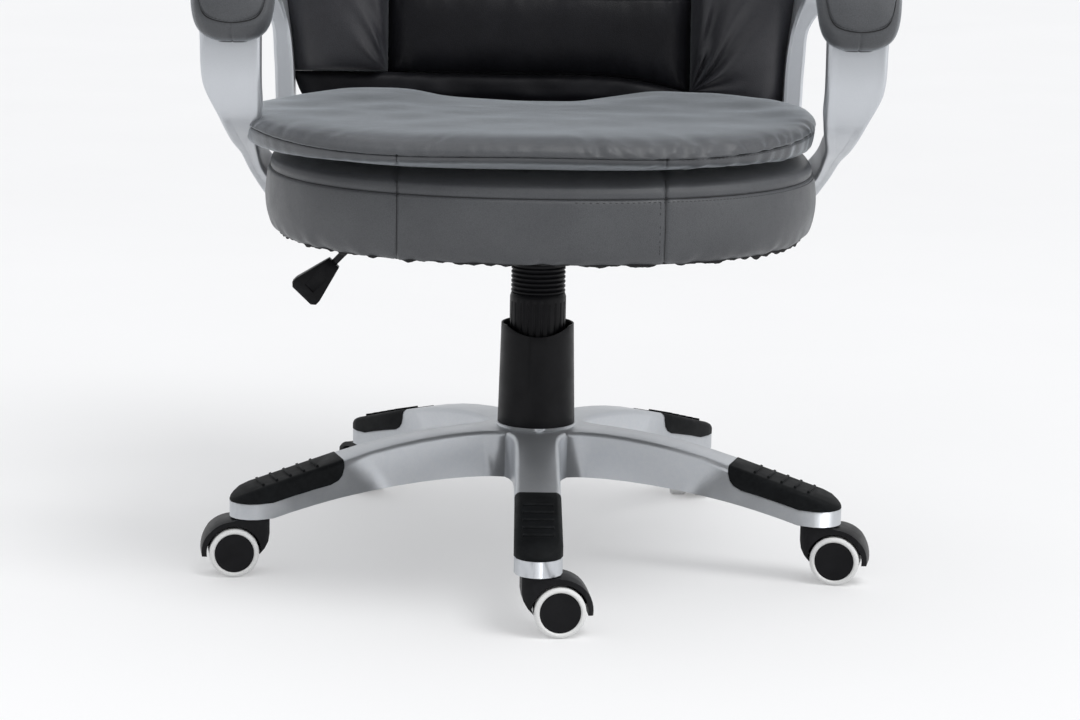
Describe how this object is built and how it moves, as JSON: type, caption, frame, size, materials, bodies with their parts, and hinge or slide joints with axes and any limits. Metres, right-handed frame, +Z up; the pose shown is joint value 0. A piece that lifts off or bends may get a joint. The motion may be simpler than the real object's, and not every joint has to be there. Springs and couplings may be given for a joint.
{
  "type": "office chair",
  "caption": "High-back swivel office chair with padded leather seat and back, silver loop arms, gas lift and a star base on casters.",
  "frame": {"origin": "on the floor under the column axis, with the chair at its lowest height", "axes": "+Z up along the column; the seat faces -Y; +X is to the right of someone looking at the chair's front"},
  "size_m": [0.692, 0.6676, 1.1261],
  "materials": {
    "silver_plastic": "satin",
    "pad_black": "matte",
    "zinc_steel": "satin",
    "spring_steel": "satin",
    "black_steel": "satin",
    "white_plastic": "satin",
    "black_plastic": "satin",
    "white_tread": "satin",
    "plywood": "matte",
    "black_fabric": "matte",
    "grey_leather": "satin"
  },
  "bodies": {
    "base": {"star_base": "silver_plastic", "foot_pads": "pad_black", "caster_stems": "zinc_steel", "column_tube": "black_steel", "guide_bush": "white_plastic", "thrust_bearing": "zinc_steel", "cover_lower": "black_plastic"},
    "lift_rod": {"piston_rod": "zinc_steel", "retaining_clip": "zinc_steel"},
    "cover_middle": {"cover_middle": "black_plastic"},
    "mechanism": {"gas_cylinder": "black_steel", "cover_upper": "black_plastic", "mechanism_housing": "black_steel", "pivot_pin": "zinc_steel", "tilt_spring": "spring_steel"},
    "release_pin": {"release_pin": "white_plastic"},
    "lever_bush": {"lever_bush": "white_plastic"},
    "lever": {"lever_rod": "black_steel", "lever_grip": "black_plastic"},
    "seat": {"seat_plate": "black_steel", "seat_bolts": "zinc_steel", "seat_pan": "plywood", "dust_cover": "black_fabric", "seat_cushion": "grey_leather", "seat_topper": "grey_leather", "arm_frame_left": "silver_plastic", "arm_frame_right": "silver_plastic", "arm_pad_left": "grey_leather", "arm_pad_right": "grey_leather", "arm_bolts": "zinc_steel", "back_board": "plywood", "back_bolts": "zinc_steel", "back_bracket": "black_steel", "bracket_bolts": "zinc_steel", "back_panel": "grey_leather", "back_bolster_left": "grey_leather", "back_bolster_right": "grey_leather", "back_roll": "grey_leather", "headrest": "grey_leather", "back_cover": "grey_leather"},
    "swivel_front": {"caster_hood_front": "black_plastic"},
    "wheels_front": {"caster_axle_front": "zinc_steel", "wheel_hubs_front": "black_plastic", "wheel_treads_front": "white_tread"},
    "swivel_right": {"caster_hood_right": "black_plastic"},
    "wheels_right": {"caster_axle_right": "zinc_steel", "wheel_hubs_right": "black_plastic", "wheel_treads_right": "white_tread"},
    "swivel_rear_right": {"caster_hood_rear_right": "black_plastic"},
    "wheels_rear_right": {"caster_axle_rear_right": "zinc_steel", "wheel_hubs_rear_right": "black_plastic", "wheel_treads_rear_right": "white_tread"},
    "swivel_rear_left": {"caster_hood_rear_left": "black_plastic"},
    "wheels_rear_left": {"caster_axle_rear_left": "zinc_steel", "wheel_hubs_rear_left": "black_plastic", "wheel_treads_rear_left": "white_tread"},
    "swivel_left": {"caster_hood_left": "black_plastic"},
    "wheels_left": {"caster_axle_left": "zinc_steel", "wheel_hubs_left": "black_plastic", "wheel_treads_left": "white_tread"}
  },
  "joints": [
    {"name": "swivel", "type": "hinge", "parent": "base", "child": "lift_rod", "pos_m": [0, 0, 0.2], "axis": [0, 0, 1], "continuous": true},
    {"name": "cover_slide", "type": "slide", "parent": "base", "child": "cover_middle", "axis": [0, 0, 1], "range_m": [0, 0.04]},
    {"name": "lift", "type": "slide", "parent": "lift_rod", "child": "mechanism", "axis": [0, 0, 1], "range_m": [0, 0.08]},
    {"name": "pin_press", "type": "slide", "parent": "mechanism", "child": "release_pin", "axis": [0, 0, -1], "range_m": [0, 0.0042]},
    {"name": "lever_lift", "type": "hinge", "parent": "mechanism", "child": "lever_bush", "pos_m": [-0.0535, 0, 0.3315], "axis": [0, 1, 0], "range_deg": [0, 4], "stiffness_Nm_per_rad": 3},
    {"name": "lever_pull", "type": "slide", "parent": "lever_bush", "child": "lever", "axis": [-1, 0, 0], "range_m": [0, 0.012]},
    {"name": "seat_tilt", "type": "hinge", "parent": "mechanism", "child": "seat", "pos_m": [0, -0.03, 0.336], "axis": [-1, 0, 0], "range_deg": [0, 12], "stiffness_Nm_per_rad": 120, "springref_deg": -15.01, "deforming": ["tilt_spring"]},
    {"name": "caster_front", "type": "hinge", "parent": "base", "child": "swivel_front", "pos_m": [0, -0.302, 0.05], "axis": [0, 0, 1], "continuous": true},
    {"name": "wheels_front", "type": "hinge", "parent": "swivel_front", "child": "wheels_front", "pos_m": [0.01972, -0.30027, 0.025], "axis": [-0.0872, 0.9962, 0], "continuous": true},
    {"name": "caster_right", "type": "hinge", "parent": "base", "child": "swivel_right", "pos_m": [0.28722, -0.09332, 0.05], "axis": [0, 0, 1], "continuous": true},
    {"name": "wheels_right", "type": "hinge", "parent": "swivel_right", "child": "wheels_right", "pos_m": [0.30659, -0.09744, 0.025], "axis": [0.2079, 0.9781, 0], "continuous": true},
    {"name": "caster_rear_right", "type": "hinge", "parent": "base", "child": "swivel_rear_right", "pos_m": [0.17751, 0.24432, 0.05], "axis": [0, 0, 1], "continuous": true},
    {"name": "wheels_rear_right", "type": "hinge", "parent": "swivel_rear_right", "child": "wheels_rear_right", "pos_m": [0.17924, 0.26405, 0.025], "axis": [-0.9962, 0.0872, 0], "continuous": true},
    {"name": "caster_rear_left", "type": "hinge", "parent": "base", "child": "swivel_rear_left", "pos_m": [-0.17751, 0.24432, 0.05], "axis": [0, 0, 1], "continuous": true},
    {"name": "wheels_rear_left", "type": "hinge", "parent": "swivel_rear_left", "child": "wheels_rear_left", "pos_m": [-0.18741, 0.26147, 0.025], "axis": [-0.866, -0.5, 0], "continuous": true},
    {"name": "caster_left", "type": "hinge", "parent": "base", "child": "swivel_left", "pos_m": [-0.28722, -0.09332, 0.05], "axis": [0, 0, 1], "continuous": true},
    {"name": "wheels_left", "type": "hinge", "parent": "swivel_left", "child": "wheels_left", "pos_m": [-0.30683, -0.09608, 0.025], "axis": [0.1392, -0.9903, 0], "continuous": true}
  ],
  "couplings": [
    {"joint": "cover_slide", "follows": "lift", "ratio": 0.5},
    {"joint": "pin_press", "follows": "lever_lift", "m_per_rad": 0.06}
  ]
}
